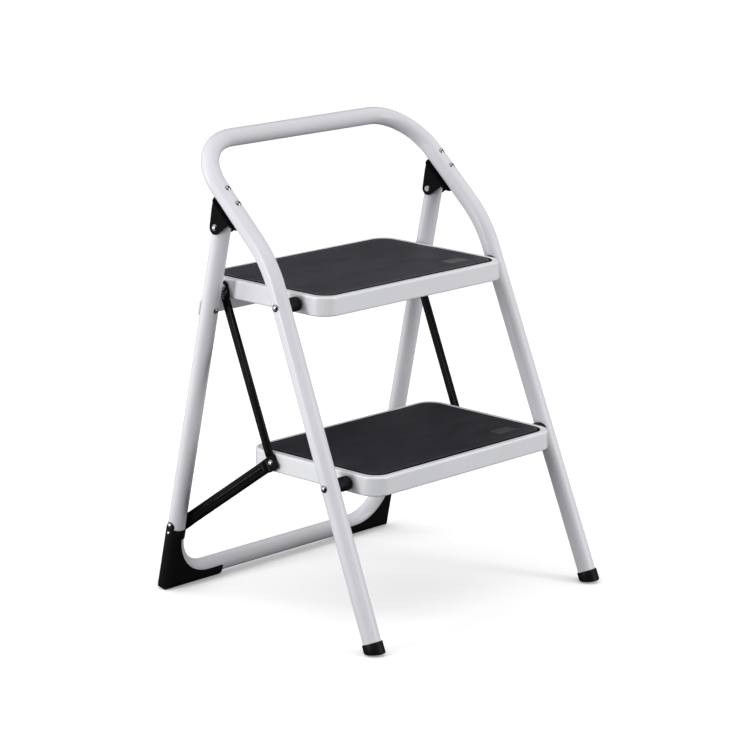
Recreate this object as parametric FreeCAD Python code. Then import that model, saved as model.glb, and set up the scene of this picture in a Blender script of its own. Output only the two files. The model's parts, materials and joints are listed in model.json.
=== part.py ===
import FreeCAD, Part
import math
import os

from FreeCAD import Vector

# Folding two-tread step stool. Millimetres, +Z up, +X to the user's right, treads climb towards +Y.
# The origin is on the floor, midway between the feet.

# Tube stock
tube_diameter = 25.0
tube_wall = 1.5

# Front frame: two legs that lean back, a bend above the top tread, and a hand rail
front_foot_span = 455.0
front_splay = 0.95
front_lean = 22.8
bend_above_pivot = 56.1
bend_radius = 170.0
upper_lean = 47.4
straight_above_bracket = 4.5
rail_corner_radius = 78.0

# Rear frame: a U of the same tube, hinged to the front frame
floor_spread = 407.0
rear_foot_inset = 7.25
rear_splay = 0.4
hinge_along_upper = 92.88
hinge_behind_upper = 36.5
leg_above_hinge = 12.0
floor_bar_height = 17.4
floor_bend_radius = 66.0

# Foot caps
cap_wall = 1.6
cap_flare = 0.2
cap_height = 15.5
cap_floor = 3.2
cap_fit = 0.1
cap_edge_radius = 0.6

# Treads: pressed trays with a rubber mat let into the top
tread_depth = 239.0
tread_drop = 27.0
tread_corner_radius = 27.0
tread_edge_radius = 3.0
tread_roll_radius = 2.5
tray_sheet = 1.5
tray_hem = 6.0
mat_border_side = 10.3
mat_border_end = 8.3
mat_corner_radius = 22.5
mat_recess = 1.5
mat_thickness = 1.9
mat_gap = 0.25
mat_edge_radius = 0.5
pad_length = 38.0
pad_width = 21.0
pad_height = 0.3
pad_corner_radius = 2.0
pad_from_side = 31.5
pad_from_front = 27.5
bead_length = 250.0
bead_width = 10.0
bead_depth = 2.0
bead_spacing = 70.0

# Tread pivots: heights on the front legs and places in the tray
lower_pivot_height = 212.4
tread_rise = 230.0
pivot_below_top = 13.6
pivot_from_front = 49.5
strut_arm = 138.8

# Spacers between the front legs and the trays: the upper ones' length sets the treads' width
upper_spacer_length = 18.4
spacer_diameter = 20.0
spacer_edge_radius = 3.5

# Struts: flattened oval tubes with thin lugs
anchor_above_collar = 4.7
anchor_collar_diameter = 8.4
upper_strut_width = 12.0
upper_strut_depth = 8.0
lower_strut_width = 17.0
lower_strut_depth = 8.6
lug_thickness = 3.0
lug_extra_width = 2.5
lug_reach = 11.0
lug_taper = 13.0

# Hinge brackets: folded sheet with two ears, placed from the hinge pin
bracket_sheet = 2.0
bracket_bend_radius = 3.0
bracket_tongue = 25.0
bracket_top = 34.4
ear_lobe_radius = 9.5
ear_heel = 14.3
ear_apex = 26.5
bracket_end_radius = 12.5
bracket_rivet_offsets = (1.1, 28.0)

# Corner shoes on the rear frame
shoe_wall = 1.4
shoe_collar_top = 92.5
shoe_collar_band = 13.5
shoe_toe = 108.0
shoe_floor_flat = 8.2
shoe_heel_radius = 8.0
shoe_inner_raise = 1.5
shoe_toe_radius = 7.0
shoe_fit = 0.1
tongue_width = 13.0
tongue_above_anchor = 5.2
shoe_screw_drop = 11.5
shoe_screw_diameter = 4.0
shoe_screw_head_diameter = 6.4
shoe_screw_head_height = 1.6
shoe_screw_bite = 3.0

# Cross plate behind the rear legs
plate_overhang = 6.6
plate_height = 23.0
plate_thickness = 2.5
plate_corner_radius = 4.0
plate_rivet_from_top = 7.7

# Rivets
rivet_diameter = 6.0
rivet_head_diameter = 10.6
rivet_head_height = 3.0
small_rivet_diameter = 5.0
small_rivet_head_diameter = 8.6
small_rivet_head_height = 2.2
rivet_recess_diameter = 3.0
rivet_recess_depth = 1.5
rivet_tail_height = 1.6
tail_base_ratio = 0.46
tail_tip_ratio = 0.36

# Clearances
seat_gap = 0.3
running_gap = 0.06
fixed_gap = 0.03

# Tolerance for picking edges
tolerance = 0.01

# Derived sizes
tube_radius = tube_diameter / 2
front_slope = math.tan(math.radians(front_lean))
upper_slope = math.tan(math.radians(upper_lean))
front_splay_slope = math.tan(math.radians(front_splay))
rear_splay_slope = math.tan(math.radians(rear_splay))
strut_anchor_height = shoe_collar_top + anchor_above_collar
cap_radius = tube_radius + cap_wall
shoe_radius = tube_radius + shoe_wall
shoe_centre_height = math.sqrt(shoe_radius ** 2 - (shoe_floor_flat / 2) ** 2)
upper_pivot_height = lower_pivot_height + tread_rise
bend_height = upper_pivot_height + bend_above_pivot
upper_direction = Vector(0, upper_slope, 1).normalize()
upper_rear_normal = Vector(0, upper_direction.z, -upper_direction.y)
hinge_offset = upper_direction * hinge_along_upper + upper_rear_normal * hinge_behind_upper
hinge_height = bend_height + hinge_offset.z
rear_slope = (floor_spread - front_slope * bend_height - hinge_offset.y) / hinge_height
upper_length = hinge_along_upper + bracket_top + straight_above_bracket + rail_corner_radius
rail_rise = upper_length * upper_direction.z
front_reach = (cap_radius + cap_flare) / math.cos(math.radians(front_lean))
rear_reach = shoe_radius - rear_slope * shoe_centre_height
overall_depth = floor_spread + front_reach + rear_reach
front_floor_y = front_reach - overall_depth / 2
rear_floor_y = front_floor_y + floor_spread
X_AXIS = Vector(1, 0, 0)


def front_axis(side, z):
    """Point on a front leg's centre line below the bend."""
    half_span = front_foot_span / 2 - front_splay_slope * z
    return Vector(side * half_span, front_floor_y + front_slope * z, z)


def rear_axis(side, z):
    """Point on a rear leg's centre line."""
    half_span = front_foot_span / 2 - rear_foot_inset - rear_splay_slope * z
    return Vector(side * half_span, rear_floor_y - rear_slope * z, z)


def rail_corner(side):
    """Sharp corner of the hand rail's centre line."""
    bend = front_axis(side, bend_height)
    half_span = abs(bend.x) - front_splay_slope * rail_rise
    return Vector(side * half_span, bend.y + upper_slope * rail_rise, bend.z + rail_rise)


def unit(vector):
    return Vector(vector).normalize()


rear_direction = unit(Vector(0, -rear_slope, 1))
rear_normal = Vector(0, rear_direction.z, -rear_direction.y)
hinge_point = rear_axis(1, hinge_height)
upper_pivot = front_axis(1, upper_pivot_height)
lower_pivot = front_axis(1, lower_pivot_height)
tread_half_width = upper_pivot.x - tube_radius - seat_gap - upper_spacer_length
tread_width = 2 * tread_half_width
lug_inner_x = tread_half_width + seat_gap
outer_lug_x = lug_inner_x + lug_thickness + seat_gap
upper_strut_pivot = upper_pivot + Vector(0, strut_arm, 0)
strut_joint = lower_pivot + Vector(0, strut_arm, 0)
strut_anchor = rear_axis(1, strut_anchor_height)
anchor_lug_x = strut_anchor.x - shoe_radius - seat_gap - lug_thickness


def rounded_path(points, radii):
    """Straight runs through the points, joined by tangent arcs."""
    edges = []
    start = points[0]
    for before, corner, after, radius in zip(points, points[1:], points[2:], radii):
        back = unit(before - corner)
        ahead = unit(after - corner)
        half_angle = back.getAngle(ahead) / 2
        tangent_length = radius / math.tan(half_angle)
        centre = corner + unit(back + ahead) * (radius / math.sin(half_angle))
        arc_start = corner + back * tangent_length
        arc_end = corner + ahead * tangent_length
        arc_middle = centre + unit(corner - centre) * radius
        edges.append(Part.makeLine(start, arc_start))
        edges.append(Part.Arc(arc_start, arc_middle, arc_end).toShape())
        start = arc_end
    edges.append(Part.makeLine(start, points[-1]))
    return Part.Wire(edges)


def sweep_round(path, radius):
    """Solid rod of one radius along straight runs and arcs."""
    pieces = []
    for edge in path.OrderedEdges:
        start = edge.valueAt(edge.FirstParameter)
        direction = edge.tangentAt(edge.FirstParameter)
        profile = Part.Face(Part.Wire([Part.makeCircle(radius, start, direction)]))
        if isinstance(edge.Curve, Part.Line):
            pieces.append(profile.extrude(direction * edge.Length))
        else:
            turn = math.degrees(edge.LastParameter - edge.FirstParameter)
            pieces.append(profile.revolve(edge.Curve.Center, edge.Curve.Axis, turn))
    return pieces[0].fuse(pieces[1:])


def pin_along_x(x_from, x_to, y, z, radius):
    return Part.makeCylinder(radius, abs(x_to - x_from), Vector(min(x_from, x_to), y, z), X_AXIS)


def seat_drop(head_diameter):
    """How far a round tube falls away under the rim of a rivet head."""
    return tube_radius - math.sqrt(tube_radius ** 2 - (head_diameter / 2) ** 2)


def turned(edges, base, direction):
    """Solid of revolution from a closed half profile."""
    return Part.Face(Part.Wire(edges)).revolve(base, direction, 360)


def polyline(points):
    return [Part.makeLine(a, b) for a, b in zip(points, points[1:])]


def square_to(direction):
    """Unit vector at right angles to a direction."""
    helper = Vector(0, 0, 1) if abs(direction.z) < math.sqrt(0.5) else X_AXIS
    return unit(direction.cross(helper))


def dome(base, direction, diameter, height, root=0.0):
    """Rivet head: a turned spherical cap on a short root that reaches back into its seat."""
    radius = diameter / 2
    sphere_radius = (radius * radius + height * height) / (2 * height)
    out = square_to(direction)
    centre = base + direction * (height - sphere_radius)
    rim = base + out * radius
    apex = base + direction * height
    middle = centre + unit(rim - centre + apex - centre) * sphere_radius
    foot = base - direction * root
    points = [apex, foot, foot + out * radius]
    if root:
        points.append(rim)
    return turned(polyline(points) + [Part.Arc(rim, middle, apex).toShape()], base, direction)


def rivet(start, end, diameter, head_diameter, head_height, seat=None):
    """Solid rivet with its dome beyond end and its pressed tail beyond start."""
    direction = unit(end - start)
    out = square_to(direction)
    tail = start - direction * rivet_tail_height
    inside_head = end + direction * (head_height / 2)
    tail_tip = tail + out * (head_diameter * tail_tip_ratio)
    tail_base = start + out * (head_diameter * tail_base_ratio)
    shank_foot = start + out * (diameter / 2)
    shank_top = inside_head + out * (diameter / 2)
    profile = [tail, tail_tip, tail_base, shank_foot, shank_top, inside_head, tail]
    shank = turned(polyline(profile), start, direction)
    if seat is None:
        head = dome(end, direction, head_diameter, head_height)
    else:
        head = dome(end, direction, head_diameter, head_height, seat_drop(head_diameter) + seat_gap)
        head = head.cut(seat)
    return shank.fuse(head).removeSplitter()


def blind_rivet(start, end, seat):
    """Small rivet whose dome has the round hole that its mandrel leaves."""
    direction = unit(end - start)
    body = rivet(start, end, small_rivet_diameter, small_rivet_head_diameter, small_rivet_head_height, seat)
    floor = end + direction * (small_rivet_head_height - rivet_recess_depth)
    return body.cut(Part.makeCylinder(rivet_recess_diameter / 2, 2 * rivet_recess_depth, floor, direction))


def rounded_slab(width, depth, height, radius, centre, base_z):
    """Upright slab with rounded corners, centred on a point."""
    slab = Part.makeBox(width, depth, height, Vector(centre.x - width / 2, centre.y - depth / 2, base_z))
    uprights = [edge for edge in slab.Edges if edge.BoundBox.ZLength > height / 2]
    return slab.makeFillet(radius, uprights)


def top_edges(shape, z):
    return [edge for edge in shape.Edges if edge.BoundBox.ZMin > z - tolerance]


def bottom_edges(shape, z):
    return [edge for edge in shape.Edges if edge.BoundBox.ZMax < z + tolerance]


def front_path():
    points = []
    points.append(front_axis(-1, foot_start_height()))
    points.append(front_axis(-1, bend_height))
    points.append(rail_corner(-1))
    points.append(rail_corner(1))
    points.append(front_axis(1, bend_height))
    points.append(front_axis(1, foot_start_height()))
    return rounded_path(points, [bend_radius, rail_corner_radius, rail_corner_radius, bend_radius])


def foot_start_height():
    """Height of the tube's end on its axis, so that its lowest edge clears the cap's floor."""
    return cap_floor + tube_radius * math.sin(math.radians(front_lean))


def rear_path():
    top = hinge_height + leg_above_hinge
    points = [rear_axis(-1, top), rear_axis(-1, floor_bar_height)]
    points.append(rear_axis(1, floor_bar_height))
    points.append(rear_axis(1, top))
    return rounded_path(points, [floor_bend_radius, floor_bend_radius])


def rivet_seats_on_bracket(side):
    """Points on the front tube's axis where the bracket rivets cross it."""
    bend = front_axis(side, bend_height)
    corner = rail_corner(side)
    along = unit(corner - bend)
    return [bend + along * (hinge_along_upper + offset) for offset in bracket_rivet_offsets]


def cross_plate_rivet_point(side):
    """Point on the rear leg's axis that the cross plate's rivet passes."""
    along = plate_top_along_leg() - plate_rivet_from_top
    return rear_axis(side, along * rear_direction.z)


def plate_top_along_leg():
    """Distance from the floor, along the leg, to the cross plate's upper edge."""
    tray_bottom = upper_pivot_height + pivot_below_top - tread_drop
    rear_face = tube_radius + plate_thickness
    top = tray_bottom - seat_gap
    return (top - rear_face * rear_normal.z) / rear_direction.z


def make_front_frame(outer):
    bore = sweep_round(front_path(), tube_radius - tube_wall)
    tube = outer.cut(bore)
    holes = []
    for side in (-1, 1):
        for height in (upper_pivot_height, lower_pivot_height):
            centre = front_axis(side, height)
            holes.append(pin_along_x(centre.x - tube_diameter, centre.x + tube_diameter, centre.y,
                                     centre.z, rivet_diameter / 2 + fixed_gap))
        for point in rivet_seats_on_bracket(side):
            start = point - upper_rear_normal * tube_diameter
            holes.append(Part.makeCylinder(small_rivet_diameter / 2 + fixed_gap, 2 * tube_diameter,
                                           start, upper_rear_normal))
    return tube.cut(holes)


def make_foot_cap(side):
    axis = unit(front_axis(side, 1.0) - front_axis(side, 0.0))
    top = front_axis(side, cap_height)
    below = front_axis(side, -cap_height)
    length = (top - below).Length
    body = Part.makeCone(cap_radius + 2 * cap_flare, cap_radius, length, below, axis)
    rim = [edge for edge in body.Edges
           if (edge.CenterOfMass - top).Length < tolerance and len(edge.Vertexes) < 2]
    body = body.makeFillet(cap_edge_radius, rim)
    bore_start = front_axis(side, foot_start_height()) - axis * cap_fit
    body = body.cut(Part.makeCylinder(tube_radius + cap_fit, length, bore_start, axis))
    size = 6 * cap_radius
    floor_cut = Part.makeBox(size, size, size, Vector(top.x - size / 2, top.y - size / 2, -size))
    return body.cut(floor_cut)


def make_bracket(side):
    """Folded bracket: a back plate on the tube and two ears that carry the rear leg's pin."""
    bend = front_axis(side, bend_height)
    origin = Vector(side * hinge_point.x, bend.y, bend.z)

    def place(x, u, w):
        return origin + Vector(x, 0, 0) + upper_direction * u + upper_rear_normal * w

    inner_half = tube_radius + seat_gap
    outer_half = inner_half + bracket_sheet
    low = hinge_along_upper - bracket_tongue
    high = hinge_along_upper + bracket_top
    deep = hinge_behind_upper + 2 * ear_lobe_radius

    def channel(half, start_w, radius):
        section = Part.makePolygon([place(-half, low, start_w), place(half, low, start_w),
                                    place(half, low, deep), place(-half, low, deep),
                                    place(-half, low, start_w)])
        block = Part.Face(section).extrude(upper_direction * (high - low))
        corners = []
        for edge in block.Edges:
            middle = edge.CenterOfMass - origin
            on_back = abs(middle.dot(upper_rear_normal) - start_w) < tolerance
            if on_back and abs(edge.Length - (high - low)) < tolerance:
                corners.append(edge)
        return block.makeFillet(radius, corners)

    outer = channel(outer_half, tube_radius, bracket_bend_radius)
    inner = channel(inner_half, tube_radius + bracket_sheet, bracket_bend_radius - bracket_sheet)
    folded = outer.cut(inner)

    # Side outline: back plate strip, heel, round lobe about the pin, and apex
    back = tube_radius - bracket_sheet
    front_of_ear = tube_radius + bracket_sheet
    heel = Vector(0, hinge_along_upper - ear_heel, front_of_ear)
    apex = Vector(0, hinge_along_upper + ear_apex, front_of_ear)
    centre = Vector(0, hinge_along_upper, hinge_behind_upper)
    heel_touch = tangent_point(heel, centre, ear_lobe_radius, -1)
    apex_touch = tangent_point(apex, centre, ear_lobe_radius, 1)
    away = unit((centre - heel) + (centre - apex))
    lobe_middle = centre + away * ear_lobe_radius
    corner_points = [Vector(0, low, back), Vector(0, low, front_of_ear), heel, heel_touch]
    local = [place(-2 * outer_half, p.y, p.z) for p in corner_points]
    arc = Part.Arc(place(-2 * outer_half, heel_touch.y, heel_touch.z),
                   place(-2 * outer_half, lobe_middle.y, lobe_middle.z),
                   place(-2 * outer_half, apex_touch.y, apex_touch.z)).toShape()
    tail_points = [apex_touch, apex, Vector(0, high, front_of_ear), Vector(0, high, back)]
    tail = [place(-2 * outer_half, p.y, p.z) for p in tail_points]
    edges = polyline(local) + [arc] + polyline(tail + local[:1])
    side_prism = Part.Face(Part.Wire(edges)).extrude(Vector(4 * outer_half, 0, 0))

    # Plan outline: both ends of the back plate are rounded
    plan = Part.Face(Part.makePolygon([place(-outer_half, low, 0), place(outer_half, low, 0),
                                       place(outer_half, high, 0), place(-outer_half, high, 0),
                                       place(-outer_half, low, 0)])).extrude(upper_rear_normal * deep)
    ends = [edge for edge in plan.Edges if abs(edge.Length - deep) < tolerance]
    plan = plan.makeFillet(bracket_end_radius, ends)

    bracket = folded.common(side_prism).common(plan)
    bracket = bracket.cut(pin_along_x(origin.x - 2 * outer_half, origin.x + 2 * outer_half,
                                      hinge_point.y, hinge_point.z, rivet_diameter / 2 + fixed_gap))
    for point in rivet_seats_on_bracket(side):
        bracket = bracket.cut(Part.makeCylinder(small_rivet_diameter / 2 + fixed_gap, 2 * tube_diameter,
                                                point, upper_rear_normal))
    return bracket


def tangent_point(outside, centre, radius, turn):
    """Where a line from an outside point touches a circle in the YZ plane."""
    gap = outside - centre
    reach = math.acos(radius / gap.Length)
    angle = math.atan2(gap.z, gap.y) + turn * reach
    return centre + Vector(0, math.cos(angle), math.sin(angle)) * radius


def make_bracket_rivets(outer):
    rivets = []
    for side in (-1, 1):
        for point in rivet_seats_on_bracket(side):
            end = point - upper_rear_normal * tube_radius
            start = point + upper_rear_normal * (tube_radius + bracket_sheet)
            rivets.append(blind_rivet(start, end, outer))
    return rivets


def make_hinge_rivets():
    rivets = []
    half = tube_radius + seat_gap + bracket_sheet
    for side in (-1, 1):
        centre = Vector(side * hinge_point.x, hinge_point.y, hinge_point.z)
        rivets.append(rivet(centre - X_AXIS * side * half, centre + X_AXIS * side * half, rivet_diameter,
                            rivet_head_diameter, rivet_head_height))
    return rivets


def make_spacers(height, outer):
    spacers = []
    for side in (-1, 1):
        centre = front_axis(side, height)
        face_x = tread_half_width + seat_gap
        spacer = pin_along_x(side * face_x, centre.x, centre.y, centre.z, spacer_diameter / 2)
        rim = [edge for edge in spacer.Edges
               if abs(edge.CenterOfMass.x - side * face_x) < tolerance and len(edge.Vertexes) < 2]
        spacer = spacer.makeFillet(spacer_edge_radius, rim)
        spacer = spacer.cut(outer)
        bore = pin_along_x(0, centre.x, centre.y, centre.z, rivet_diameter / 2 + fixed_gap)
        pieces = spacer.cut(bore).Solids
        spacers.append(min(pieces, key=lambda piece: abs(piece.CenterOfMass.x)))
    return spacers


def make_tread_rivets(height, outer):
    rivets = []
    for side in (-1, 1):
        centre = front_axis(side, height)
        end = centre + X_AXIS * side * tube_radius
        inner_face = tread_half_width - tray_sheet - running_gap
        start = Vector(side * inner_face, centre.y, centre.z)
        rivets.append(rivet(start, end, rivet_diameter, rivet_head_diameter, rivet_head_height, outer))
    return rivets


def make_rear_frame(outer):
    bore = sweep_round(rear_path(), tube_radius - tube_wall)
    tube = outer.cut(bore)
    holes = []
    for side in (-1, 1):
        for height, gap in ((hinge_height, running_gap), (strut_anchor_height, fixed_gap)):
            centre = rear_axis(side, height)
            holes.append(pin_along_x(centre.x - tube_diameter, centre.x + tube_diameter, centre.y,
                                     centre.z, rivet_diameter / 2 + gap))
        point = cross_plate_rivet_point(side)
        holes.append(Part.makeCylinder(small_rivet_diameter / 2 + fixed_gap, 2 * tube_diameter,
                                       point - rear_normal * tube_diameter, rear_normal))
        screw = shoe_screw_point(side)
        holes.append(pin_along_x(screw.x, screw.x + side * tube_diameter, screw.y, screw.z,
                                 shoe_screw_diameter / 2 + fixed_gap))
    return tube.cut(holes)


def shoe_screw_point(side):
    return rear_axis(side, strut_anchor_height - shoe_screw_drop)


def make_shoe(side):
    """Moulded corner shoe: a half-round trough round the outside of the bend, flat where it stands."""
    foot = rear_axis(side, 0.0)
    leg = unit(rear_axis(side, 1.0) - foot)
    outward = unit(leg.cross(rear_normal)) * -side

    def place(x, s, n=0.0):
        return Vector(side * x, foot.y, 0) + rear_direction * s + rear_normal * n

    # Outline seen from behind: heel and toe corners are rounded, the inner edge follows the tube's axis
    half = shoe_radius
    low = (shoe_centre_height - shoe_radius) / rear_direction.z
    bar_s = (floor_bar_height + shoe_inner_raise) / rear_direction.z
    high = shoe_collar_top + floor_bend_radius
    high_s = high / rear_direction.z
    leg_x = abs(rear_axis(side, floor_bar_height).x)
    high_x = abs(rear_axis(side, high).x)
    collar_low = rear_axis(side, shoe_collar_top - shoe_collar_band)
    collar_high = rear_axis(side, shoe_collar_top)
    heel_x = abs(foot.x) + shoe_radius
    toe_x = heel_x - shoe_toe
    corners = [place(toe_x, low, -half), place(heel_x, low, -half),
               place(high_x + shoe_radius, high_s, -half), place(high_x, high_s, -half),
               place(leg_x, bar_s, -half), place(toe_x, bar_s, -half)]
    outline = Part.Face(Part.makePolygon(corners + corners[:1])).extrude(rear_normal * (2 * half))
    depth_edges = [edge for edge in outline.Edges if abs(edge.Length - 2 * half) < tolerance]
    for corner, radius in ((corners[0], shoe_toe_radius), (corners[1], shoe_heel_radius),
                           (corners[4], floor_bend_radius)):
        middle = corner + rear_normal * half
        nearest = min(depth_edges, key=lambda edge: (edge.CenterOfMass - middle).Length)
        picked = [edge for edge in outline.Edges
                  if (edge.CenterOfMass - nearest.CenterOfMass).Length < tolerance]
        outline = outline.makeFillet(radius, picked)

    # Trough along the floor bar and trough down the leg: each is half round with flat sides
    floor_centre = rear_axis(side, shoe_centre_height) + X_AXIS * side * shoe_toe
    floor_trough = trough(floor_centre, rear_direction * -1, half, shoe_collar_top).extrude(
        X_AXIS * side * -3 * shoe_toe)
    leg_centre = foot - leg * shoe_toe
    leg_trough = trough(leg_centre, outward, half, shoe_toe).extrude(collar_low - leg_centre)
    block = outline.common(floor_trough).common(leg_trough)

    # Collar round the leg and the tongue that carries the strut rivet
    collar = Part.makeCylinder(shoe_radius, (collar_high - collar_low).Length, collar_low, leg)
    shoe = block.fuse([collar, make_tongue(side)]).removeSplitter()
    floor_cut = Part.makeBox(4 * shoe_toe, 4 * shoe_toe, shoe_toe,
                             Vector(foot.x - 2 * shoe_toe, foot.y - 2 * shoe_toe, -shoe_toe))
    groove = sweep_round(rear_path(), tube_radius + shoe_fit)
    anchor = rear_axis(side, strut_anchor_height)
    screw = shoe_screw_point(side)
    shoe = shoe.cut(floor_cut).cut(groove)
    shoe = shoe.cut([pin_along_x(anchor.x, anchor.x + side * tube_diameter, anchor.y, anchor.z,
                                 rivet_diameter / 2 + fixed_gap),
                     pin_along_x(screw.x, screw.x + side * tube_diameter, screw.y, screw.z,
                                 shoe_screw_diameter / 2 + fixed_gap)])
    return shoe.removeSplitter()


def trough(centre, outward, half, depth):
    """Half-round section with flat sides, round end outward, in the plane across the rear frame."""
    near = [centre - rear_normal * half, centre + rear_normal * half]
    far = [point - outward * depth for point in near]
    arc = Part.Arc(near[0], centre + outward * half, near[1]).toShape()
    return Part.Face(Part.Wire([arc] + polyline([near[1], far[1], far[0], near[0]])))


def make_tongue(side):
    """Round-topped tab on the leg's outer side."""
    anchor = rear_axis(side, strut_anchor_height)
    base = rear_axis(side, shoe_collar_top)
    top_centre = anchor - rear_direction * (tongue_width / 2 - tongue_above_anchor)
    leg = unit(anchor - base)
    shell = Part.makeCylinder(shoe_radius, (anchor - base).Length + tongue_width, base, leg)
    half = tongue_width / 2
    reach = 2 * shoe_radius * side
    strip_base = Vector(top_centre.x, base.y, base.z) - rear_direction * shoe_collar_band
    corners = [strip_base - rear_normal * half, strip_base + rear_normal * half,
               top_centre + rear_normal * half, top_centre - rear_normal * half]
    arc = Part.Arc(corners[2], top_centre + rear_direction * half, corners[3]).toShape()
    outline = Part.Wire([Part.makeLine(corners[0], corners[1]), Part.makeLine(corners[1], corners[2]), arc,
                         Part.makeLine(corners[3], corners[0])])
    window = Part.Face(outline).extrude(Vector(reach, 0, 0))
    return shell.common(window)


def make_shoe_screws():
    screws = []
    for side in (-1, 1):
        point = shoe_screw_point(side)
        seat = point + X_AXIS * side * shoe_radius
        tip = point + X_AXIS * side * (tube_radius - tube_wall - shoe_screw_bite)
        shank = Part.makeCylinder(shoe_screw_diameter / 2, (seat - tip).Length, tip, unit(seat - tip))
        head = dome(seat, X_AXIS * side, shoe_screw_head_diameter, shoe_screw_head_height)
        screws.append(shank.fuse(head).removeSplitter())
    return screws


def make_anchor_rivets():
    """Rivets that carry the lower struts: the shank ends in a collar just short of the strut's lug."""
    rivets = []
    for side in (-1, 1):
        anchor = rear_axis(side, strut_anchor_height)
        end = anchor + X_AXIS * side * shoe_radius
        stub = Vector(side * (anchor_lug_x + lug_thickness + seat_gap), anchor.y, anchor.z)
        leg_face = anchor - X_AXIS * side * tube_radius
        shank = Part.makeCylinder(rivet_diameter / 2, (end - stub).Length, stub, X_AXIS * side)
        head = dome(end, X_AXIS * side, small_rivet_head_diameter, small_rivet_head_height)
        collar = Part.makeCylinder(anchor_collar_diameter / 2, (leg_face - stub).Length, stub, X_AXIS * side)
        rivets.append(shank.fuse([head, collar]).removeSplitter())
    return rivets


def make_cross_plate():
    top = plate_top_along_leg()
    base = Vector(0, rear_floor_y, 0)

    def place(x, s):
        return base + Vector(x, 0, 0) + rear_direction * s + rear_normal * tube_radius

    half = cross_plate_rivet_point(1).x + plate_overhang
    low = top - plate_height
    outline = Part.makePolygon([place(-half, low), place(half, low), place(half, top), place(-half, top),
                                place(-half, low)])
    plate = Part.Face(outline).extrude(rear_normal * plate_thickness)
    corners = [edge for edge in plate.Edges if abs(edge.Length - plate_thickness) < tolerance]
    plate = plate.makeFillet(plate_corner_radius, corners)
    for side in (-1, 1):
        point = cross_plate_rivet_point(side)
        plate = plate.cut(Part.makeCylinder(small_rivet_diameter / 2 + fixed_gap, 2 * tube_diameter, point,
                                            rear_normal))
    return plate


def make_cross_plate_rivets(outer):
    rivets = []
    for side in (-1, 1):
        point = cross_plate_rivet_point(side)
        end = point - rear_normal * tube_radius
        start = point + rear_normal * (tube_radius + plate_thickness)
        rivets.append(blind_rivet(start, end, outer))
    return rivets


def tread_centre(pivot):
    return Vector(0, pivot.y - pivot_from_front + tread_depth / 2, pivot.z + pivot_below_top)


def mat_size():
    return tread_width - 2 * mat_border_side, tread_depth - 2 * mat_border_end


def make_tray(pivot):
    """Pressed tray: rounded top edge, deep flange, rolled hem, recess for the mat and two beads."""
    centre = tread_centre(pivot)
    top = centre.z
    bottom = top - tread_drop
    body = rounded_slab(tread_width, tread_depth, tread_drop, tread_corner_radius, centre, bottom)
    body = body.makeFillet(tread_edge_radius, top_edges(body, top))
    body = body.makeFillet(tread_roll_radius, bottom_edges(body, bottom))

    inner_height = tread_drop - 2 * tray_sheet
    hollow = rounded_slab(tread_width - 2 * tray_sheet, tread_depth - 2 * tray_sheet, inner_height,
                          tread_corner_radius - tray_sheet, centre, bottom + tray_sheet)
    hollow = hollow.makeFillet(tread_edge_radius - tray_sheet, top_edges(hollow, top - tray_sheet))
    hollow = hollow.makeFillet(tread_roll_radius - tray_sheet, bottom_edges(hollow, bottom + tray_sheet))
    lip = tray_sheet + tray_hem
    mouth = rounded_slab(tread_width - 2 * lip, tread_depth - 2 * lip, 2 * tray_sheet,
                         tread_corner_radius - lip, centre, bottom - tray_sheet / 2)

    mat_width, mat_depth = mat_size()
    grow = 2 * (tray_sheet + mat_gap)
    panel_depth = mat_recess + tray_sheet
    panel = rounded_slab(mat_width + grow, mat_depth + grow, panel_depth, mat_corner_radius + grow / 2,
                         centre, top - panel_depth)
    recess = rounded_slab(mat_width + 2 * mat_gap, mat_depth + 2 * mat_gap, 2 * mat_recess,
                          mat_corner_radius + mat_gap, centre, top - mat_recess)
    tray = body.cut(hollow.fuse(mouth)).fuse(panel).cut(recess)

    beads = []
    for shift in (-bead_spacing / 2, bead_spacing / 2):
        place = centre + Vector(0, shift, 0)
        beads.append(rounded_slab(bead_length, bead_width, bead_depth, bead_width / 2 - tolerance, place,
                                  top - panel_depth - bead_depth))
    tray = tray.fuse(beads)

    pivot_hole = rivet_diameter / 2 + running_gap
    joint_hole = rivet_diameter / 2 + fixed_gap
    joint_y = pivot.y + strut_arm
    tray = tray.cut([pin_along_x(-tread_width, tread_width, pivot.y, pivot.z, pivot_hole),
                     pin_along_x(-tread_width, tread_width, joint_y, pivot.z, joint_hole)])
    return tray.removeSplitter()


def make_mat(pivot):
    centre = tread_centre(pivot)
    mat_width, mat_depth = mat_size()
    base = centre.z - mat_recess
    mat = rounded_slab(mat_width, mat_depth, mat_thickness, mat_corner_radius, centre, base)
    mat = mat.makeFillet(mat_edge_radius, top_edges(mat, base + mat_thickness))
    pad_x = mat_width / 2 - pad_from_side - pad_length / 2
    pad_y = pad_from_front + pad_width / 2 - mat_depth / 2
    pad = rounded_slab(pad_length, pad_width, mat_edge_radius + pad_height, pad_corner_radius,
                       centre + Vector(pad_x, pad_y, 0), base + mat_thickness - mat_edge_radius)
    return mat.fuse(pad).removeSplitter()


def make_strut_rivets(joint, outer_face_x):
    """Rivets through the tray's flange and the lugs outside it."""
    rivets = []
    for side in (-1, 1):
        start = Vector(side * (tread_half_width - tray_sheet), joint.y, joint.z)
        end = Vector(side * outer_face_x, joint.y, joint.z)
        rivets.append(rivet(start, end, rivet_diameter, rivet_head_diameter, rivet_head_height))
    return rivets


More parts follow.
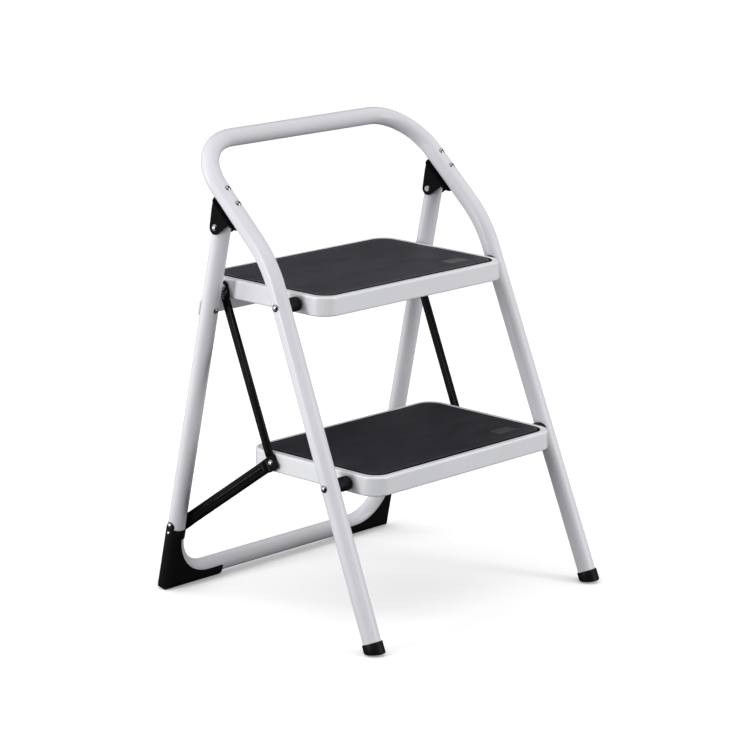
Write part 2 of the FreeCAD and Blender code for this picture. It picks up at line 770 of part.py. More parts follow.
def stadium(centre, across, width, depth):
    """Flat-sided oval wire across the strut: width lies in the side plane, depth lies along X."""
    radius = depth / 2
    flat = width / 2 - radius
    tops = [centre + across * flat, centre - across * flat]
    edges = [Part.makeLine(tops[1] + X_AXIS * radius, tops[0] + X_AXIS * radius)]
    edges.append(Part.Arc(tops[0] + X_AXIS * radius, tops[0] + across * radius,
                          tops[0] - X_AXIS * radius).toShape())
    edges.append(Part.makeLine(tops[0] - X_AXIS * radius, tops[1] - X_AXIS * radius))
    edges.append(Part.Arc(tops[1] - X_AXIS * radius, tops[1] - across * radius,
                          tops[1] + X_AXIS * radius).toShape())
    return Part.Wire(edges)


def make_strut(side, start, end, width, depth):
    """Oval tube between two pivots, flattened to a thin lug at each end.

    Each end is its pivot, the lug's inner face, the oval's middle, and the gap in the hole."""
    start_pivot, start_lug_x, start_x, start_gap = start
    end_pivot, end_lug_x, end_x, end_gap = end
    run = end_pivot - start_pivot
    along = unit(Vector(0, run.y, run.z))
    across = Vector(0, -along.z, along.y)
    lug_width = width + lug_extra_width

    def at(point, x):
        return Vector(side * x, point.y, point.z)

    near = start_pivot + along * lug_reach
    far = end_pivot - along * lug_reach
    lug_middle = lug_thickness / 2
    sections = [stadium(at(near, start_lug_x + lug_middle), across, lug_width, lug_thickness)]
    sections.append(stadium(at(near + along * lug_taper, start_x), across, width, depth))
    sections.append(stadium(at(far - along * lug_taper, end_x), across, width, depth))
    sections.append(stadium(at(far, end_lug_x + lug_middle), across, lug_width, lug_thickness))
    body = Part.makeLoft(sections, True, True)
    strut = body.fuse([make_lug(side, start_pivot, near, start_lug_x, lug_width, across),
                       make_lug(side, end_pivot, far, end_lug_x, lug_width, across)])
    for pivot, gap in ((start_pivot, start_gap), (end_pivot, end_gap)):
        strut = strut.cut(pin_along_x(0, side * tread_width, pivot.y, pivot.z, rivet_diameter / 2 + gap))
    return strut.removeSplitter()


def make_lug(side, pivot, joint, lug_x, lug_width, across):
    """Thin flat lug with a round end about its pivot."""
    half = lug_width / 2
    x = side * lug_x
    outward = unit(pivot - joint)
    outward = unit(Vector(0, outward.y, outward.z))
    pivot_at = Vector(x, pivot.y, pivot.z)
    joint_at = Vector(x, joint.y, joint.z)
    edges = [Part.makeLine(joint_at - across * half, pivot_at - across * half)]
    edges.append(Part.Arc(pivot_at - across * half, pivot_at + outward * half,
                          pivot_at + across * half).toShape())
    edges.append(Part.makeLine(pivot_at + across * half, joint_at + across * half))
    edges.append(Part.makeLine(joint_at + across * half, joint_at - across * half))
    return Part.Face(Part.Wire(edges)).extrude(X_AXIS * side * lug_thickness)


def make_upper_strut(side):
    middle = lug_inner_x + upper_strut_depth / 2
    top = (upper_strut_pivot, lug_inner_x, middle, running_gap)
    bottom = (strut_joint, lug_inner_x, middle, running_gap)
    return make_strut(side, top, bottom, upper_strut_width, upper_strut_depth)


def make_lower_strut(side):
    top = (strut_joint, outer_lug_x, outer_lug_x + lower_strut_depth / 2, running_gap)
    anchor_middle = anchor_lug_x + lug_thickness - lower_strut_depth / 2
    bottom = (strut_anchor, anchor_lug_x, anchor_middle, fixed_gap)
    return make_strut(side, top, bottom, lower_strut_width, lower_strut_depth)


def make_strut_stud(side):
    """Short stud pressed into the lower strut's lug where it meets the rear leg."""
    outer_face = Vector(side * (anchor_lug_x + lug_thickness), strut_anchor.y, strut_anchor.z)
    inner_face = Vector(side * anchor_lug_x, strut_anchor.y, strut_anchor.z)
    shank = Part.makeCylinder(rivet_diameter / 2, lug_thickness, outer_face, X_AXIS * -side)
    head = dome(inner_face, X_AXIS * -side, rivet_head_diameter, rivet_head_height)
    return shank.fuse(head).removeSplitter()


def build():
    front_outer = sweep_round(front_path(), tube_radius)
    rear_outer = sweep_round(rear_path(), tube_radius)
    lug_face = lug_inner_x + lug_thickness
    outer_lug_face = outer_lug_x + lug_thickness
    nodes = {
        "front_frame_tube": [make_front_frame(front_outer)],
        "bracket_rivets": make_bracket_rivets(front_outer),
        "hinge_pivot_rivets": make_hinge_rivets(),
        "upper_tread_spacers": make_spacers(upper_pivot_height, front_outer),
        "lower_tread_spacers": make_spacers(lower_pivot_height, front_outer),
        "upper_tread_rivets": make_tread_rivets(upper_pivot_height, front_outer),
        "lower_tread_rivets": make_tread_rivets(lower_pivot_height, front_outer),
        "rear_frame_tube": [make_rear_frame(rear_outer)],
        "shoe_screws": make_shoe_screws(),
        "strut_anchor_rivets": make_anchor_rivets(),
        "rear_cross_plate": [make_cross_plate()],
        "cross_plate_rivets": make_cross_plate_rivets(rear_outer),
        "upper_tread_tray": [make_tray(upper_pivot)],
        "upper_tread_mat": [make_mat(upper_pivot)],
        "upper_strut_rivets": make_strut_rivets(upper_strut_pivot, lug_face + seat_gap),
        "lower_tread_tray": [make_tray(lower_pivot)],
        "lower_tread_mat": [make_mat(lower_pivot)],
        "strut_joint_rivets": make_strut_rivets(strut_joint, outer_lug_face + seat_gap),
    }
    for name, side in (("left", -1), ("right", 1)):
        nodes[name + "_foot_cap"] = [make_foot_cap(side)]
        nodes[name + "_hinge_bracket"] = [make_bracket(side)]
        nodes[name + "_upper_strut"] = [make_upper_strut(side)]
        nodes[name + "_lower_strut"] = [make_lower_strut(side)]
        nodes[name + "_lower_strut_stud"] = [make_strut_stud(side)]
    left_shoe = make_shoe(-1)
    nodes["left_corner_shoe"] = [left_shoe]
    nodes["right_corner_shoe"] = [left_shoe.mirror(Vector(), X_AXIS)]
    return nodes


os.makedirs("parts", exist_ok=True)
for name, solids in build().items():
    shape = solids[0] if len(solids) == 1 else Part.makeCompound(solids)
    shape.exportStep("parts/" + name + ".step")
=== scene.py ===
import json
import math

import bmesh
import bpy
from mathutils import Matrix, Vector


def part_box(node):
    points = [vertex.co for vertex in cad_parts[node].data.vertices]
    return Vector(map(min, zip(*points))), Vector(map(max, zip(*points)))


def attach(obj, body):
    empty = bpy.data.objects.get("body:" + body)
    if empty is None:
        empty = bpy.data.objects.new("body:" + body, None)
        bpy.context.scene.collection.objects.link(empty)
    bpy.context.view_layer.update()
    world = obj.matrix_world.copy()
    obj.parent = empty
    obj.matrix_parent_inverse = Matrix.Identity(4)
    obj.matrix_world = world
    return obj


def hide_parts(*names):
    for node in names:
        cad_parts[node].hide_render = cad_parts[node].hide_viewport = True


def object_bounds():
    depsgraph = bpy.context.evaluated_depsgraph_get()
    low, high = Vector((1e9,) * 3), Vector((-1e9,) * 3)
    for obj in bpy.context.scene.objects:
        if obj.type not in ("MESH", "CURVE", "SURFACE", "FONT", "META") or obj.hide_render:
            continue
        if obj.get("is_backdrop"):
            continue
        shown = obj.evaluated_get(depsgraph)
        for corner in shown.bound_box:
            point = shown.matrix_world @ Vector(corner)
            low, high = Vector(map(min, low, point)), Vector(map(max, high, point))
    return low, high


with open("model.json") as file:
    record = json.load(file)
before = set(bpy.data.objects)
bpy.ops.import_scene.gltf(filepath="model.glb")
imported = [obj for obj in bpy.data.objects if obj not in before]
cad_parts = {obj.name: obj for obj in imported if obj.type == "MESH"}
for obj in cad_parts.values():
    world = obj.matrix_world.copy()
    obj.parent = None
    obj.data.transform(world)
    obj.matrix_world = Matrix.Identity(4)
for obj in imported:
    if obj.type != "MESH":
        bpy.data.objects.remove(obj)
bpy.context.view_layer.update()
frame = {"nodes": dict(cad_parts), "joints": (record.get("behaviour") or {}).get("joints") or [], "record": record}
scene = bpy.context.scene
nodes = frame["nodes"]


# Materials

def new_material(name):
    """Material with an empty Principled surface; gives the node tree and the shader."""
    material = bpy.data.materials.new(name)
    material.use_nodes = True
    tree = material.node_tree
    return material, tree, tree.nodes["Principled BSDF"]


def add_node(tree, kind, inputs=None, **settings):
    node = tree.nodes.new(kind)
    for key, value in settings.items():
        setattr(node, key, value)
    for key, value in (inputs or {}).items():
        if isinstance(value, bpy.types.NodeSocket):
            tree.links.new(value, node.inputs[key])
        else:
            node.inputs[key].default_value = value
    return node


def place(tree, stretch=(1.0, 1.0, 1.0)):
    """Object coordinates in metres, stretched per axis."""
    coordinates = add_node(tree, "ShaderNodeTexCoord")
    mapping = add_node(tree, "ShaderNodeMapping",
                       {"Vector": coordinates.outputs["Object"], "Scale": stretch})
    return mapping.outputs["Vector"]


def noise(tree, scale, detail=3.0, roughness=0.5, stretch=(1.0, 1.0, 1.0)):
    node = add_node(tree, "ShaderNodeTexNoise", {"Vector": place(tree, stretch), "Scale": scale,
                                                 "Detail": detail, "Roughness": roughness})
    return node.outputs["Fac"]


def ramp(tree, value, stops):
    """Colour ramp from (position, colour) pairs."""
    node = add_node(tree, "ShaderNodeValToRGB", {"Fac": value})
    first, last = node.color_ramp.elements
    first.position, first.color = stops[0][0], (*stops[0][1], 1.0)
    last.position, last.color = stops[-1][0], (*stops[-1][1], 1.0)
    for position, colour in stops[1:-1]:
        node.color_ramp.elements.new(position).color = (*colour, 1.0)
    return node.outputs["Color"]


def bump(tree, height, distance):
    node = add_node(tree, "ShaderNodeBump", {"Height": height, "Distance": distance, "Strength": 1.0})
    return node.outputs["Normal"]


def paint(name, light, dark, roughness, peel=0.00012, gloss=1.0):
    """Powder coat: slow tone drift, fine speckle and an orange-peel skin."""
    material, tree, shader = new_material(name)
    drift = noise(tree, 9.0, 2.0)
    speckle = noise(tree, 900.0, 2.0)
    mixed = add_node(tree, "ShaderNodeMath", {0: drift, 1: speckle}, operation="MULTIPLY").outputs[0]
    tree.links.new(ramp(tree, mixed, [(0.12, dark), (0.40, light)]), shader.inputs["Base Color"])
    shader.inputs["Roughness"].default_value = roughness
    shader.inputs["Specular IOR Level"].default_value = 0.5 * gloss
    shader.inputs["Coat Weight"].default_value = 0.35 * gloss
    shader.inputs["Coat Roughness"].default_value = 0.22
    tree.links.new(bump(tree, noise(tree, 420.0, 2.0), peel), shader.inputs["Normal"])
    return material


def moulded(name, light, dark, roughness, grain):
    """Moulded plastic with a fine spark-eroded grain and a few brighter scuffs."""
    material, tree, shader = new_material(name)
    scuff = noise(tree, 60.0, 6.0, 0.65)
    tone = ramp(tree, scuff, [(0.35, dark), (0.62, dark), (0.78, light)])
    tree.links.new(tone, shader.inputs["Base Color"])
    shader.inputs["Roughness"].default_value = roughness
    shader.inputs["Specular IOR Level"].default_value = 0.08
    tree.links.new(bump(tree, noise(tree, 2600.0, 2.0), grain), shader.inputs["Normal"])
    return material


def plated(name):
    """Bright zinc with small tone changes and painted shade (occlusion darkening) where a head meets its seat."""
    material, tree, shader = new_material(name)
    tone = ramp(tree, noise(tree, 700.0, 3.0), [(0.3, (0.26, 0.265, 0.28)), (0.7, (0.46, 0.465, 0.48))])
    # Painted shade: ambient occlusion darkens the zinc's colour in the crevice round each head, where it meets its
    # seat.
    seat_shade = add_node(tree, "ShaderNodeAmbientOcclusion", {"Distance": 0.006}, samples=16)
    shade = ramp(tree, seat_shade.outputs["AO"], [(0.60, (0.03, 0.03, 0.035)), (0.97, (1.0, 1.0, 1.0))])
    mixed = add_node(tree, "ShaderNodeMix", {"Factor": 1.0, "A": tone, "B": shade}, data_type="RGBA",
                     blend_type="MULTIPLY")
    tree.links.new(mixed.outputs["Result"], shader.inputs["Base Color"])
    shader.inputs["Metallic"].default_value = 1.0
    shader.inputs["Roughness"].default_value = 0.16
    tree.links.new(bump(tree, noise(tree, 1500.0, 2.0), 0.00003), shader.inputs["Normal"])
    return material


def rubber(name, light, dark, roughness, level):
    """Charcoal rubber with a mottled, dusty tone."""
    material, tree, shader = new_material(name)
    streak = noise(tree, 34.0, 6.0, 0.62, (0.55, 1.0, 1.0))
    tree.links.new(ramp(tree, streak, [(0.32, dark), (0.68, light)]), shader.inputs["Base Color"])
    shader.inputs["Roughness"].default_value = roughness
    shader.inputs["Specular IOR Level"].default_value = level
    tree.links.new(bump(tree, noise(tree, 1800.0, 3.0), 0.00008), shader.inputs["Normal"])
    return material


frame_paint = paint("frame_powder_coat", (0.72, 0.72, 0.76), (0.66, 0.66, 0.70), 0.34, gloss=0.55)
tread_paint = paint("tread_powder_coat", (0.78, 0.785, 0.82), (0.72, 0.725, 0.76), 0.32)
strut_paint = paint("strut_black_paint",
                    (0.0060, 0.0060, 0.0068), (0.0035, 0.0035, 0.0042), 0.18, gloss=0.10)
bracket_paint = paint("bracket_black_paint",
                      (0.004, 0.004, 0.005), (0.002, 0.002, 0.0025), 0.45, gloss=0.05)
black_plastic = moulded("black_moulding",
                        (0.016, 0.016, 0.017), (0.006, 0.006, 0.0065), 0.42, 0.00005)
zinc = plated("zinc_plate")
# Lit and shaded copies of one rubber: the lower mat's darker colour is painted shade from the upper tread above
# it.
mat_rubber = {
    "upper": rubber("upper_mat_rubber_lit",
                    (0.041, 0.0384, 0.0491), (0.025, 0.0234, 0.0298), 0.56, 0.22),
    "lower": rubber("lower_mat_rubber_shaded",
                    (0.030, 0.0280, 0.0361), (0.018, 0.0169, 0.0216), 0.56, 0.14)}
edge_rubber = rubber("mat_edge_rubber", (0.006, 0.006, 0.008), (0.003, 0.003, 0.004), 0.60, 0.05)
# The lip is painted lighter than the field as a highlight on its raised edge; the lower lip is a darker copy,
# painted shade from the upper tread.
lip_rubber = {
    "upper": rubber("upper_lip_painted_highlight", (0.095, 0.092, 0.100), (0.075, 0.072, 0.080), 0.56, 0.22),
    "lower": rubber("lower_lip_painted_highlight_shaded", (0.052, 0.050, 0.055), (0.042, 0.040, 0.045), 0.56, 0.14)}
# Lit and shaded copies of one pad rubber: the lower pad's darker colour is painted shade from the upper tread.
pad_rubber = {
    "upper": rubber("upper_pad_rubber_lit", (0.104, 0.102, 0.108), (0.074, 0.072, 0.077), 0.45, 0.25),
    "lower": rubber("lower_pad_rubber_shaded", (0.064, 0.062, 0.066), (0.048, 0.046, 0.050), 0.45, 0.25)}

looks = {"frame_paint": frame_paint, "tread_paint": tread_paint, "black_plastic": black_plastic,
         "black_paint": strut_paint, "zinc_steel": zinc, "mat_rubber": mat_rubber["upper"]}
brackets = ("left_hinge_bracket", "right_hinge_bracket")
for part in frame["record"]["subparts"]:
    look = bracket_paint if part["node"] in brackets else looks[part["material_slot"]]
    data = nodes[part["node"]].data
    data.materials.clear()
    data.materials.append(look)


# Meshes

def finish_mesh(mesh, name, material, body):
    """Turns a bmesh into an object that rides on a body."""
    smooth_below = math.radians(35.0)
    bmesh.ops.recalc_face_normals(mesh, faces=mesh.faces)
    data = bpy.data.meshes.new(name)
    mesh.to_mesh(data)
    mesh.free()
    data.materials.append(material)
    data.set_sharp_from_angle(angle=smooth_below)
    piece = bpy.data.objects.new(name, data)
    scene.collection.objects.link(piece)
    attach(piece, body)
    return piece


def join_loops(mesh, loops):
    """Faces between neighbouring loops, and a cap on the first and the last."""
    count = len(loops[0])
    for lower, upper in zip(loops, loops[1:]):
        for i in range(count):
            after = (i + 1) % count
            mesh.faces.new((lower[i], lower[after], upper[after], upper[i]))
    mesh.faces.new(list(reversed(loops[0])))
    mesh.faces.new(loops[-1])


def rounded_outline(low, high, radius, steps):
    """Points round a rectangle with rounded corners, anticlockwise."""
    points = []
    corners = ((high.x - radius, high.y - radius, 0), (low.x + radius, high.y - radius, 90),
               (low.x + radius, low.y + radius, 180), (high.x - radius, low.y + radius, 270))
    for x, y, turn in corners:
        for step in range(steps + 1):
            angle = math.radians(turn + 90 * step / steps)
            points.append((x + radius * math.cos(angle), y + radius * math.sin(angle)))
    return points


def add_slab(mesh, low, high, radius, edge, steps=12):
    """Closed slab with rounded corners and a rounded top edge."""
    levels = [(0.0, low.z), (0.0, high.z - edge)]
    for angle in (30, 60, 90):
        turn = math.radians(angle)
        levels.append((edge * (1 - math.cos(turn)), high.z - edge * (1 - math.sin(turn))))
    rings = []
    for inset, z in levels:
        inner_low = Vector((low.x + inset, low.y + inset, 0))
        inner_high = Vector((high.x - inset, high.y - inset, 0))
        outline = rounded_outline(inner_low, inner_high, radius - inset, steps)
        rings.append([mesh.verts.new((x, y, z)) for x, y in outline])
    join_loops(mesh, rings)


def add_rib(mesh, y, half, z, width, height):
    """Low rounded rib along X on a flat top."""
    profile = [(-0.5, -0.2), (-0.38, 0.72), (-0.14, 1.0), (0.14, 1.0), (0.38, 0.72), (0.5, -0.2)]
    ends = []
    for x in (-half, half):
        ends.append([mesh.verts.new((x, y + a * width, z + b * height)) for a, b in profile])
    join_loops(mesh, ends)


def make_mat(level):
    """Rubber mat: dark smooth edge, a lip painted lighter as a highlight, a ribbed field inside it and a plain
    raised pad.
    """
    node = level + "_tread_mat"
    low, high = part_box(node)
    body = level + "_tread"
    pad_rise = 0.0003
    top = high.z - pad_rise
    radius = 0.0225
    slab_round = 0.0005
    edge = 0.0046
    lip = 0.0026
    lip_round = 0.0003
    lip_drop = 0.00005
    lip_root = 0.0005
    field_rise = 0.00015
    field_round = 0.0001
    field_root = 0.0003
    margin = 0.0032
    rib_pitch = 0.0026
    rib_share = 0.62
    rib_height = 0.00010
    slab = bmesh.new()
    add_slab(slab, low, Vector((high.x, high.y, top)), radius, slab_round)
    slab = finish_mesh(slab, level + "_mat_edge", edge_rubber, body)

    field_top = top + field_rise
    border = bmesh.new()
    border_low = Vector((low.x + edge, low.y + edge, top - lip_root))
    border_high = Vector((high.x - edge, high.y - edge, field_top - lip_drop))
    add_slab(border, border_low, border_high, radius - edge, lip_round)
    border = finish_mesh(border, level + "_mat_lip", lip_rubber[level], body)

    mesh = bmesh.new()
    field_edge = edge + lip
    field_low = Vector((low.x + field_edge, low.y + field_edge, top - field_root))
    field_high = Vector((high.x - field_edge, high.y - field_edge, field_top))
    add_slab(mesh, field_low, field_high, radius - field_edge, field_round)
    rib_inset = edge + margin
    count = int((high.y - low.y - 2 * rib_inset) / rib_pitch)
    start = (low.y + high.y) / 2 - (count - 1) * rib_pitch / 2
    inner = radius - rib_inset
    for i in range(count):
        y = start + i * rib_pitch
        over = radius - min(y - low.y, high.y - y)
        half = (high.x - low.x) / 2 - rib_inset
        if over > 0:
            half -= inner - math.sqrt(max(inner * inner - over * over, 0.0))
        add_rib(mesh, y, half, field_top, rib_pitch * rib_share, rib_height)
    piece = finish_mesh(mesh, level + "_mat_field", mat_rubber[level], body)

    pad_from_side = 0.0315
    pad_from_front = 0.0275
    pad_length = 0.0380
    pad_width = 0.0210
    pad_root = 0.0004
    pad_radius = 0.002
    pad_round = 0.0001
    pad_steps = 6
    pad_right = high.x - pad_from_side
    pad_front = low.y + pad_from_front
    pad_low = Vector((pad_right - pad_length, pad_front, top - pad_root))
    pad_high = Vector((pad_right, pad_front + pad_width, high.z))
    pad = bmesh.new()
    add_slab(pad, pad_low, pad_high, pad_radius, pad_round, pad_steps)
    pad = finish_mesh(pad, level + "_mat_pad", pad_rubber[level], body)
    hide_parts(node)


# Half the thickness of a strut's flattened lug
LUG_HALF_DEPTH = 0.0015


def strut_section(mesh, centre, across, half_width, half_depth, power):
    """Closed superellipse loop, wide across the strut and deep along X."""
    loop = []
    count = 40
    for step in range(count):
        angle = 2 * math.pi * (step + 0.5) / count
        wide = half_width * math.copysign(abs(math.cos(angle)) ** (2 / power), math.cos(angle))
        deep = half_depth * math.copysign(abs(math.sin(angle)) ** (2 / power), math.sin(angle))
        loop.append(mesh.verts.new(centre + across * wide + Vector((deep, 0, 0))))
    return loop


def end_sections(half_lug, half_width, half_depth):
    """Sections from a flattened, square-cut lug to the crowned tube.

    Each one is the distance from the pivot, the half width, the half depth and the section's power."""
    lug_end = 0.0090
    corner = 0.0042
    taper_start = 0.0068
    taper_length = 0.0055
    lug_power = 7.0
    tube_power = 2.8
    sections = []
    for angle in (8, 30, 52, 75, 90):
        turn = math.radians(angle)
        sink = corner * (1 - math.sin(turn))
        reach = corner * math.cos(turn)
        sections.append((-lug_end + corner - reach, half_lug - sink, LUG_HALF_DEPTH, lug_power))
    sections.append((taper_start, half_lug, LUG_HALF_DEPTH, lug_power))
    for share in (0.25, 0.5, 0.75, 1.0):
        ease = share * share * (3 - 2 * share)
        sections.append((taper_start + taper_length * share,
                         half_lug + (half_width - half_lug) * ease,
                         LUG_HALF_DEPTH + (half_depth - LUG_HALF_DEPTH) * ease,
                         lug_power - (lug_power - tube_power) * ease))
    return sections


def add_bead(mesh, start, along, across, sign, length, start_x, stop_x):
    """Long pressed bead along the middle of a strut's outer face, round at both ends.

    The face's distance from the middle plane runs from start_x to stop_x over the strut's length."""
    from_pivot = 0.0150
    half = 0.0024
    rise = 0.0009
    sink = 0.0004
    least_swell = 0.05
    swells = [math.sin(math.radians(angle)) for angle in range(0, 91, 18)]
    stations = [(from_pivot + half * (1 - swell), swell) for swell in swells]
    stations += [(length - from_pivot - half * (1 - swell), swell) for swell in reversed(swells)]
    steps = 12
    loops = []
    for offset, swell in stations:
        x = start_x + (stop_x - start_x) * offset / length
        size = max(swell, least_swell)
        loop = []
        for step in range(steps + 1):
            angle = math.pi * step / steps
            point = start + along * offset + across * (half * size * math.cos(angle))
            point.x = sign * (x - sink + (rise + sink) * size * math.sin(angle))
            loop.append(mesh.verts.new(point))
        loops.append(loop)
    join_loops(mesh, loops)


def make_strut(side, level, ends, width, depth, flush_outside):
    """Crowned strut between two pivots, flattened to a lug at each end.

    Each end is its pivot and the distance of the lug's inner face from the middle plane."""
    name = side + "_" + level + "_strut"
    sign = -1 if side == "left" else 1
    (start, start_x), (stop, stop_x) = ends
    run = Vector((0, stop.y - start.y, stop.z - start.z))
    length = run.length
    along = run.normalized()
    across = Vector((0, -along.z, along.y))
    lug_overhang = 0.0011
    mesh = bmesh.new()
    loops = []
    sections = end_sections(width / 2 + lug_overhang, width / 2, depth / 2)
    for offset, half_width, half_depth, power in sections:
        centre = start + along * offset
        centre.x = sign * (start_x + half_depth)
        loops.append(strut_section(mesh, centre, across, half_width, half_depth, power))
    for offset, half_width, half_depth, power in reversed(sections):
        centre = start + along * (length - offset)
        inset = 2 * LUG_HALF_DEPTH - half_depth if flush_outside else half_depth
        centre.x = sign * (stop_x + inset)
        loops.append(strut_section(mesh, centre, across, half_width, half_depth, power))
    join_loops(mesh, loops)
    far_depth = 2 * LUG_HALF_DEPTH if flush_outside else depth
    add_bead(mesh, start, along, across, sign, length, start_x + depth, stop_x + far_depth)
    piece = finish_mesh(mesh, name + "_crowned", strut_paint, name)
    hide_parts(name)


def box_middle(node):
    low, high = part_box(node)
    return (Vector(low) + Vector(high)) / 2


def make_struts(side):
    """Upper and lower strut of one side, placed from the joints and the boxes of the solids."""
    pivots = {joint["name"]: Vector(joint["pos_m"]) for joint in frame["joints"]}
    strut_anchor = box_middle("strut_anchor_rivets")
    top = pivots[side + "_upper_strut_swing"]
    knee = pivots[side + "_lower_strut_swing"]
    upper_face = min(abs(corner[0]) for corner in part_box(side + "_upper_strut"))
    lower_faces = [abs(corner[0]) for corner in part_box(side + "_lower_strut")]
    anchor_face = max(lower_faces) - 2 * LUG_HALF_DEPTH
    upper_ends = ((top, upper_face), (knee, upper_face))
    lower_ends = ((knee, min(lower_faces)), (strut_anchor, anchor_face))
    make_strut(side, "upper", upper_ends, width=0.0130, depth=0.0080, flush_outside=False)
    make_strut(side, "lower", lower_ends, width=0.0184, depth=0.0086, flush_outside=True)


def make_foot_cap(side):
    """Rubber cap cut nearly square to the leg, with a rounded bottom edge."""
    node = side + "_foot_cap"
    sign = -1 if side == "left" else 1
    leg_splay = 0.016582
    leg_lean = 0.420361
    foot_x = 0.2275
    foot_y = -0.201397
    tube_end_height = 0.008044
    up = Vector((-sign * leg_splay, leg_lean, 1.0)).normalized()
    tube_end = Vector((sign * foot_x, foot_y, 0.0)) + up * (tube_end_height / up.z)
    outward = Vector((0, -1, 0)) + up * up.y
    outward.normalize()
    sideways = up.cross(outward)
    bore = 0.01255
    wall = 0.01430
    rim = 0.0081
    rim_round = 0.0007
    rim_bevel = 0.0002
    mouth = 0.0003
    cap_floor = -0.0001
    base = -0.00656
    edge = 0.0020
    slant = 0.25
    profile = [(0.0, cap_floor), (bore, cap_floor), (bore, rim - mouth), (bore + mouth, rim),
               (wall - rim_round, rim), (wall - rim_bevel, rim - rim_bevel), (wall, rim - rim_round),
               (wall, base + edge)]
    for angle in (15, 30, 45, 60, 75, 90):
        turn = math.radians(angle)
        profile.append((wall - edge + edge * math.cos(turn), base + edge - edge * math.sin(turn)))
    profile.append((0.0, base))
    count = 64
    mesh = bmesh.new()
    rings = []
    for radius, height in profile:
        centre = tube_end + up * height
        if radius == 0.0:
            rings.append([mesh.verts.new(centre)])
            continue
        ring = []
        for step in range(count):
            turn = 2 * math.pi * step / count
            spoke = (outward * math.cos(turn) + sideways * math.sin(turn)) * radius
            drop = slant * radius * math.cos(turn) if height < -edge else 0.0
            ring.append(mesh.verts.new(centre + spoke - up * drop))
        rings.append(ring)
    for lower, upper in zip(rings, rings[1:]):
        for i in range(count):
            corners = [lower[i % len(lower)], lower[(i + 1) % len(lower)],
                       upper[(i + 1) % len(upper)], upper[i % len(upper)]]
            mesh.faces.new(list(dict.fromkeys(corners)))
    piece = finish_mesh(mesh, node + "_rubber", black_plastic, "front_frame")
    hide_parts(node)


make_mat("upper")
make_mat("lower")
for side in ("left", "right"):
    make_struts(side)
for side in ("left", "right"):
    make_foot_cap(side)


# Floor, light and camera

def add_sheet(name, material, half_size, segments, height):
    """Flat square sheet at one height."""
    mesh = bmesh.new()
    bmesh.ops.create_grid(mesh, x_segments=segments, y_segments=segments, size=half_size)
    data = bpy.data.meshes.new(name)
    mesh.to_mesh(data)
    mesh.free()
    data.materials.append(material)
    sheet = bpy.data.objects.new(name, data)
    sheet.location.z = height
    scene.collection.objects.link(sheet)
    return sheet


def make_floor():
    """White floor with a faint glow, which throws no light on the object."""
    material, tree, shader = new_material("studio_floor")
    tone = ramp(tree, noise(tree, 0.8, 2.0), [(0.3, (0.94, 0.94, 0.94)), (0.7, (0.96, 0.96, 0.96))])
    tree.links.new(tone, shader.inputs["Base Color"])
    shader.inputs["Emission Color"].default_value = (1.0, 1.0, 1.0, 1.0)
    shader.inputs["Emission Strength"].default_value = 0.20
    shader.inputs["Roughness"].default_value = 0.9
    shader.inputs["Specular IOR Level"].default_value = 0.1
    floor_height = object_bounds()[0].z - 0.0002
    floor = add_sheet("floor", material, 60.0, 8, floor_height)
    floor.visible_diffuse = False
    floor.visible_glossy = False
    floor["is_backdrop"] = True


def make_card():
    """Dark card just under the floor, which takes light from low faces that look down."""
    material, tree, shader = new_material("dark_card")
    tone = ramp(tree, noise(tree, 3.0, 2.0), [(0.3, (0.05, 0.05, 0.05)), (0.7, (0.07, 0.07, 0.07))])
    tree.links.new(tone, shader.inputs["Base Color"])
    shader.inputs["Roughness"].default_value = 0.9
    card_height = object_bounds()[0].z - 0.0010
    card = add_sheet("dark_card", material, 0.5, 2, card_height)
    card.visible_camera = False
    card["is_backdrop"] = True


def add_light(name, position, target, width, height, power):
    """Rectangular soft box."""
    data = bpy.data.lights.new(name, "AREA")
    data.shape = "RECTANGLE"
    data.size = width
    data.size_y = height
    data.energy = power
    light = bpy.data.objects.new(name, data)
    light.location = position
    light.rotation_euler = (target - position).to_track_quat("-Z", "Y").to_euler()
    scene.collection.objects.link(light)


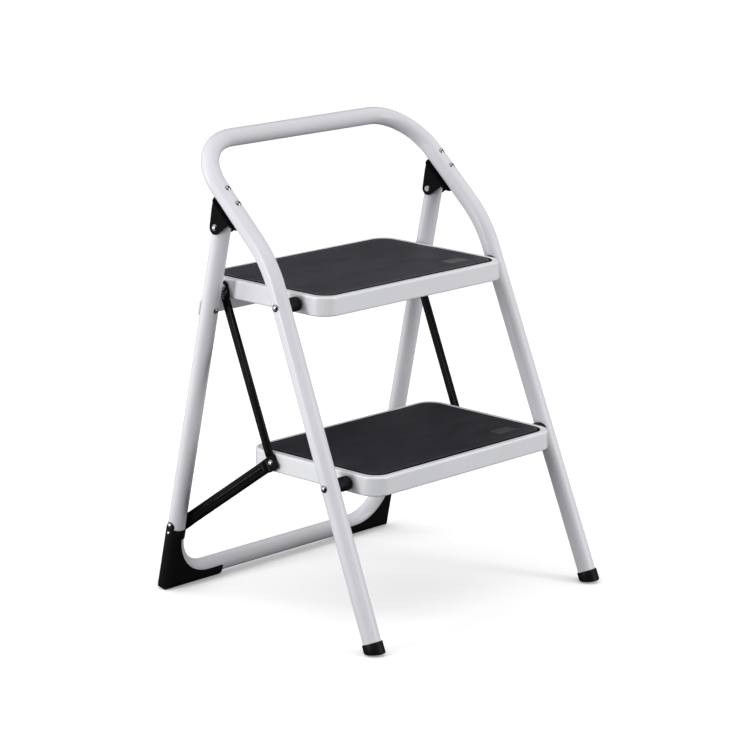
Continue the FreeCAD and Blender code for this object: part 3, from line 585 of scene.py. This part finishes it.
def make_camera():
    """Camera fitted to the photograph: place, aim, roll and lens."""
    position = Vector((-3.09280, -2.80278, 1.33706))
    target = Vector((-0.26518, -0.20949, 0.40433))
    roll = math.radians(0.844)
    focal_pixels = 3070.11
    frame_pixels = 730
    forward = (target - position).normalized()
    right = forward.cross(Vector((0, 0, 1))).normalized()
    up = right.cross(forward)
    tilted_right = right * math.cos(roll) + up * math.sin(roll)
    tilted_up = up * math.cos(roll) - right * math.sin(roll)
    turn = Matrix((tilted_right, tilted_up, -forward)).transposed()
    data = bpy.data.cameras.new("camera")
    data.sensor_width = 36.0
    data.lens = data.sensor_width * focal_pixels / frame_pixels
    data.clip_start = 0.1
    data.clip_end = 200.0
    camera = bpy.data.objects.new("camera", data)
    camera.matrix_world = Matrix.Translation(position) @ turn.to_4x4()
    scene.collection.objects.link(camera)
    scene.camera = camera


def math_node(tree, operation, first, second):
    return add_node(tree, "ShaderNodeMath", {0: first, 1: second}, operation=operation).outputs[0]


def along_axis(tree, direction, axis):
    """Share of a direction that points along an axis."""
    node = add_node(tree, "ShaderNodeVectorMath", {0: direction, 1: axis}, operation="DOT_PRODUCT")
    return node.outputs["Value"]


def make_world():
    """White tent: brighter above and to the left, dim below, open and dark at the front and the back."""
    level = 0.93
    slope = (-0.14, 0.06, 0.40)
    opening_axis = (-0.74, -0.67, 0.0)
    opening_depth = 1.25
    least = 0.03
    world = bpy.data.worlds.new("studio")
    world.use_nodes = True
    tree = world.node_tree
    direction = add_node(tree, "ShaderNodeTexCoord").outputs["Generated"]
    tent = math_node(tree, "ADD", along_axis(tree, direction, slope), level)
    facing = along_axis(tree, direction, opening_axis)
    square = math_node(tree, "MULTIPLY", facing, facing)
    opening = math_node(tree, "MULTIPLY", square, opening_depth)
    light = math_node(tree, "MAXIMUM", math_node(tree, "SUBTRACT", tent, opening), least)
    tree.links.new(light, tree.nodes["Background"].inputs["Strength"])
    tree.nodes["Background"].inputs["Color"].default_value = (1.0, 1.0, 1.0, 1.0)
    scene.world = world


make_floor()
make_card()
make_world()
aim = Vector((0.0, 0.0, 0.33))
add_light("soft_box_left", Vector((-2.5, 0.3, 0.80)), aim, width=0.35, height=1.2, power=31.0)
add_light("strip_back", Vector((-1.35, 2.2, 0.52)), aim, width=0.14, height=0.7, power=6.0)
add_light("soft_box_right", Vector((1.3, -2.7, 0.8)), aim, width=0.8, height=1.8, power=37.0)
scene.view_settings.view_transform = "Standard"
make_camera()
